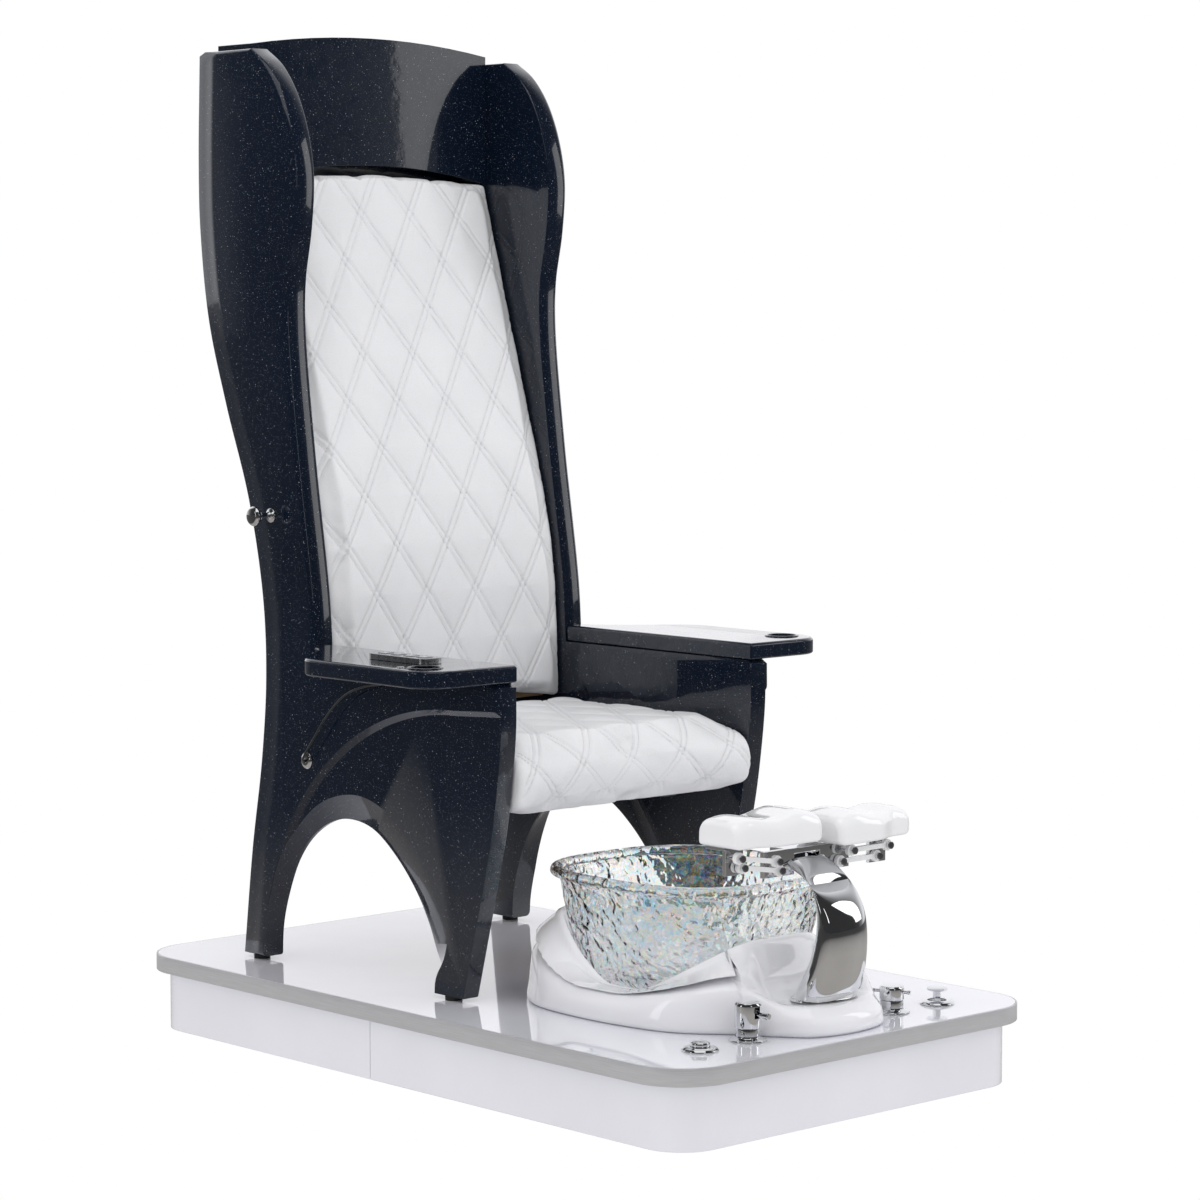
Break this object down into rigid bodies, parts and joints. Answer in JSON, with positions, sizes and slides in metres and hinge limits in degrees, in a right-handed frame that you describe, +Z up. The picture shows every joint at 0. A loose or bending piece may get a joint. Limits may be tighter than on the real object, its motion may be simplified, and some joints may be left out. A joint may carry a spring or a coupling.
{
  "type": "pedicure spa chair",
  "caption": "Pedicure spa chair: tall winged armchair with quilted cushions, glass foot bowl, adjustable footrest and taps on one raised deck.",
  "frame": {"origin": "on the floor under the centre of the deck", "axes": "+X to the right seen from the front, the chair faces -Y, +Z up"},
  "size_m": [0.95, 1.448, 1.822],
  "materials": {
    "white_gelcoat": "gloss",
    "navy_sparkle_gelcoat": "gloss with fine metal flake",
    "chrome": "polished",
    "white_leather": "soft satin, diamond quilted",
    "satin_aluminium": "satin",
    "keypad_silver": "silver paint",
    "key_plastic": "matte",
    "painted_steel": "powder coat",
    "iridescent_glass": "hammered, iridescent",
    "pipe_plastic": "matte",
    "steel_pipe": "drawn",
    "plywood": "raw",
    "cable_black": "matte",
    "black_rubber": "matte"
  },
  "bodies": {
    "frame": {"deck_board": "white_gelcoat", "deck_edge_band": "satin_aluminium", "right_side_shell": "navy_sparkle_gelcoat", "left_side_shell": "navy_sparkle_gelcoat", "back_shell": "navy_sparkle_gelcoat", "right_arm_tray": "navy_sparkle_gelcoat", "left_arm_tray": "navy_sparkle_gelcoat", "seat_pan": "plywood", "seat_ledge_left": "painted_steel", "seat_ledge_right": "painted_steel", "seat_cushion": "white_leather", "back_cushion": "white_leather", "back_board": "plywood", "chair_glide_front_left": "black_rubber", "chair_glide_front_right": "black_rubber", "chair_glide_rear_left": "black_rubber", "chair_glide_rear_right": "black_rubber", "purse_hook": "chrome", "cable_grommet": "chrome", "keypad_cable": "cable_black", "keypad_housing": "keypad_silver", "glass_bowl": "iridescent_glass", "basin_surround": "white_gelcoat", "bowl_drain": "chrome", "footrest_column": "chrome", "footrest_head": "chrome", "mixer_base": "chrome", "diverter_base": "chrome", "air_button_ring": "chrome", "drain_knob_ring": "chrome", "plinth_front": "white_gelcoat", "plinth_rear": "white_gelcoat", "deck_frame": "painted_steel", "levelling_foot_front_left": "black_rubber", "levelling_foot_front_right": "black_rubber", "levelling_foot_rear_left": "black_rubber", "levelling_foot_rear_right": "black_rubber", "drain_pipe": "pipe_plastic", "hot_supply_pipe": "steel_pipe", "cold_supply_pipe": "steel_pipe"},
    "left_upper_link": {"left_upper_link": "white_gelcoat"},
    "left_lower_link": {"left_lower_link": "white_gelcoat"},
    "left_pad": {"left_pad_bracket": "chrome", "left_foot_pad": "white_gelcoat"},
    "right_upper_link": {"right_upper_link": "white_gelcoat"},
    "right_lower_link": {"right_lower_link": "white_gelcoat"},
    "right_pad": {"right_pad_bracket": "chrome", "right_foot_pad": "white_gelcoat"},
    "mixer_body": {"mixer_body": "chrome"},
    "mixer_lever": {"mixer_lever": "chrome"},
    "diverter_knob": {"diverter_knob": "chrome"},
    "air_button": {"air_button": "chrome"},
    "drain_knob": {"drain_knob": "chrome"},
    "drain_stopper": {"drain_stopper": "chrome"},
    "call_button": {"call_button": "chrome"},
    "keypad_key_1": {"keypad_key_1": "key_plastic"},
    "keypad_key_2": {"keypad_key_2": "key_plastic"},
    "keypad_key_3": {"keypad_key_3": "key_plastic"},
    "keypad_key_4": {"keypad_key_4": "key_plastic"}
  },
  "joints": [
    {"name": "left_footrest_lift", "type": "hinge", "parent": "frame", "child": "left_upper_link", "pos_m": [-0.089, -0.596, 0.423], "axis": [0, 1, 0], "range_deg": [0, 13.5]},
    {"name": "left_pad_level", "type": "hinge", "parent": "left_upper_link", "child": "left_pad", "pos_m": [-0.17592, -0.596, 0.43677], "axis": [0, 1, 0], "range_deg": [-13.5, 0]},
    {"name": "left_lower_link_turn", "type": "hinge", "parent": "frame", "child": "left_lower_link", "pos_m": [-0.073, -0.586, 0.405], "axis": [0, 1, 0], "range_deg": [0, 13.5]},
    {"name": "right_footrest_lift", "type": "hinge", "parent": "frame", "child": "right_upper_link", "pos_m": [0.089, -0.596, 0.423], "axis": [0, -1, 0], "range_deg": [0, 22.5]},
    {"name": "right_pad_level", "type": "hinge", "parent": "right_upper_link", "child": "right_pad", "pos_m": [0.177, -0.596, 0.423], "axis": [0, -1, 0], "range_deg": [-22.5, 0]},
    {"name": "right_lower_link_turn", "type": "hinge", "parent": "frame", "child": "right_lower_link", "pos_m": [0.073, -0.586, 0.405], "axis": [0, -1, 0], "range_deg": [0, 22.5]},
    {"name": "mixer_turn", "type": "hinge", "parent": "frame", "child": "mixer_body", "pos_m": [-0.172, -0.615, 0.17], "axis": [0, 0, 1], "range_deg": [-45, 45]},
    {"name": "mixer_lever_tilt", "type": "hinge", "parent": "mixer_body", "child": "mixer_lever", "pos_m": [-0.172, -0.622, 0.186], "axis": [-1, 0, 0], "range_deg": [0, 15]},
    {"name": "diverter_turn", "type": "hinge", "parent": "frame", "child": "diverter_knob", "pos_m": [0.172, -0.615, 0.17], "axis": [0, 0, 1], "range_deg": [-90, 90]},
    {"name": "air_button_press", "type": "slide", "parent": "frame", "child": "air_button", "axis": [0, 0, -1], "range_m": [0, 0.004], "stiffness_N_per_m": 300, "springref_m": -0.001},
    {"name": "drain_knob_push", "type": "slide", "parent": "frame", "child": "drain_knob", "axis": [0, 0, -1], "range_m": [0, 0.008]},
    {"name": "drain_stopper_lift", "type": "slide", "parent": "frame", "child": "drain_stopper", "axis": [0, 0, 1], "range_m": [0, 0.008]},
    {"name": "call_button_press", "type": "slide", "parent": "frame", "child": "call_button", "axis": [0, 0, -1], "range_m": [0, 0.0015], "stiffness_N_per_m": 300, "springref_m": -0.001},
    {"name": "keypad_key_1_press", "type": "slide", "parent": "frame", "child": "keypad_key_1", "axis": [0, 0, -1], "range_m": [0, 0.001], "stiffness_N_per_m": 300, "springref_m": -0.001},
    {"name": "keypad_key_2_press", "type": "slide", "parent": "frame", "child": "keypad_key_2", "axis": [0, 0, -1], "range_m": [0, 0.001], "stiffness_N_per_m": 300, "springref_m": -0.001},
    {"name": "keypad_key_3_press", "type": "slide", "parent": "frame", "child": "keypad_key_3", "axis": [0, 0, -1], "range_m": [0, 0.001], "stiffness_N_per_m": 300, "springref_m": -0.001},
    {"name": "keypad_key_4_press", "type": "slide", "parent": "frame", "child": "keypad_key_4", "axis": [0, 0, -1], "range_m": [0, 0.001], "stiffness_N_per_m": 300, "springref_m": -0.001}
  ],
  "couplings": [
    {"joint": "left_pad_level", "follows": "left_footrest_lift", "ratio": -1},
    {"joint": "left_lower_link_turn", "follows": "left_footrest_lift", "ratio": 1},
    {"joint": "right_pad_level", "follows": "right_footrest_lift", "ratio": -1},
    {"joint": "right_lower_link_turn", "follows": "right_footrest_lift", "ratio": 1},
    {"joint": "drain_stopper_lift", "follows": "drain_knob_push", "ratio": 1}
  ]
}
